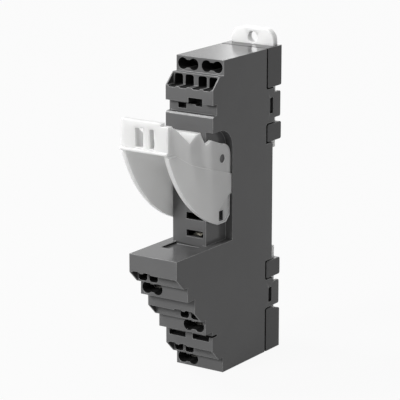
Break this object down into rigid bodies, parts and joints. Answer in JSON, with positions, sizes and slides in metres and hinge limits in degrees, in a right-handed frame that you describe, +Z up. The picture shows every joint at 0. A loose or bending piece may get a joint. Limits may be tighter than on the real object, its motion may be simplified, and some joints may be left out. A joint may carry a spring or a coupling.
{
  "type": "relay socket",
  "caption": "Slim rail-mounted socket for a plug-in relay, with stepped push-in wire terminals, a release lever and sliding rail hooks, one with a screw ear.",
  "frame": {"origin": "middle of the rail seat: centre of the width and of the rail gap, on the floor against which the rail lies", "axes": "+X across the width, to the right seen from the terminals; -Y out of the terminal front; +Y towards the rail and panel; +Z up, towards the screw ear"},
  "size_m": [0.016, 0.0573, 0.0947],
  "materials": {
    "housing": "fine moulded dark grey plastic",
    "rail_base": "fine moulded, a shade darker than the housing",
    "lever": "milky translucent nylon",
    "hook": "satin natural white plastic",
    "contact_bar": "tinned copper alloy, satin",
    "blade_clip": "tinned spring bronze",
    "clamp_spring": "bright stainless spring steel"
  },
  "bodies": {
    "socket": {"housing": "housing", "rail_base": "rail_base", "left_coil_bar": "contact_bar", "right_coil_bar": "contact_bar", "upper_contact_bar": "contact_bar", "middle_contact_bar": "contact_bar", "lower_contact_bar": "contact_bar", "left_coil_clip": "blade_clip", "right_coil_clip": "blade_clip", "low_blade_clip": "blade_clip", "middle_blade_clip": "blade_clip", "high_blade_clip": "blade_clip", "head_left_outer_spring": "clamp_spring", "head_left_inner_spring": "clamp_spring", "head_right_outer_spring": "clamp_spring", "head_right_inner_spring": "clamp_spring", "upper_outer_spring": "clamp_spring", "upper_inner_spring": "clamp_spring", "middle_outer_spring": "clamp_spring", "middle_inner_spring": "clamp_spring", "lower_outer_spring": "clamp_spring", "lower_inner_spring": "clamp_spring"},
    "lever": {"release_lever": "lever"},
    "upper_hook": {"upper_rail_hook": "hook"},
    "lower_hook": {"lower_rail_hook": "hook"}
  },
  "joints": [
    {"name": "lever_swing", "type": "hinge", "parent": "socket", "child": "lever", "pos_m": [0, -0.02535, 0.0173], "axis": [-1, 0, 0], "range_deg": [0, 22]},
    {"name": "upper_hook_slide", "type": "slide", "parent": "socket", "child": "upper_hook", "axis": [0, 0, 1], "range_m": [0, 0.003]},
    {"name": "lower_hook_slide", "type": "slide", "parent": "socket", "child": "lower_hook", "axis": [0, 0, 1], "range_m": [-0.0039, 0], "stiffness_N_per_m": 100}
  ]
}
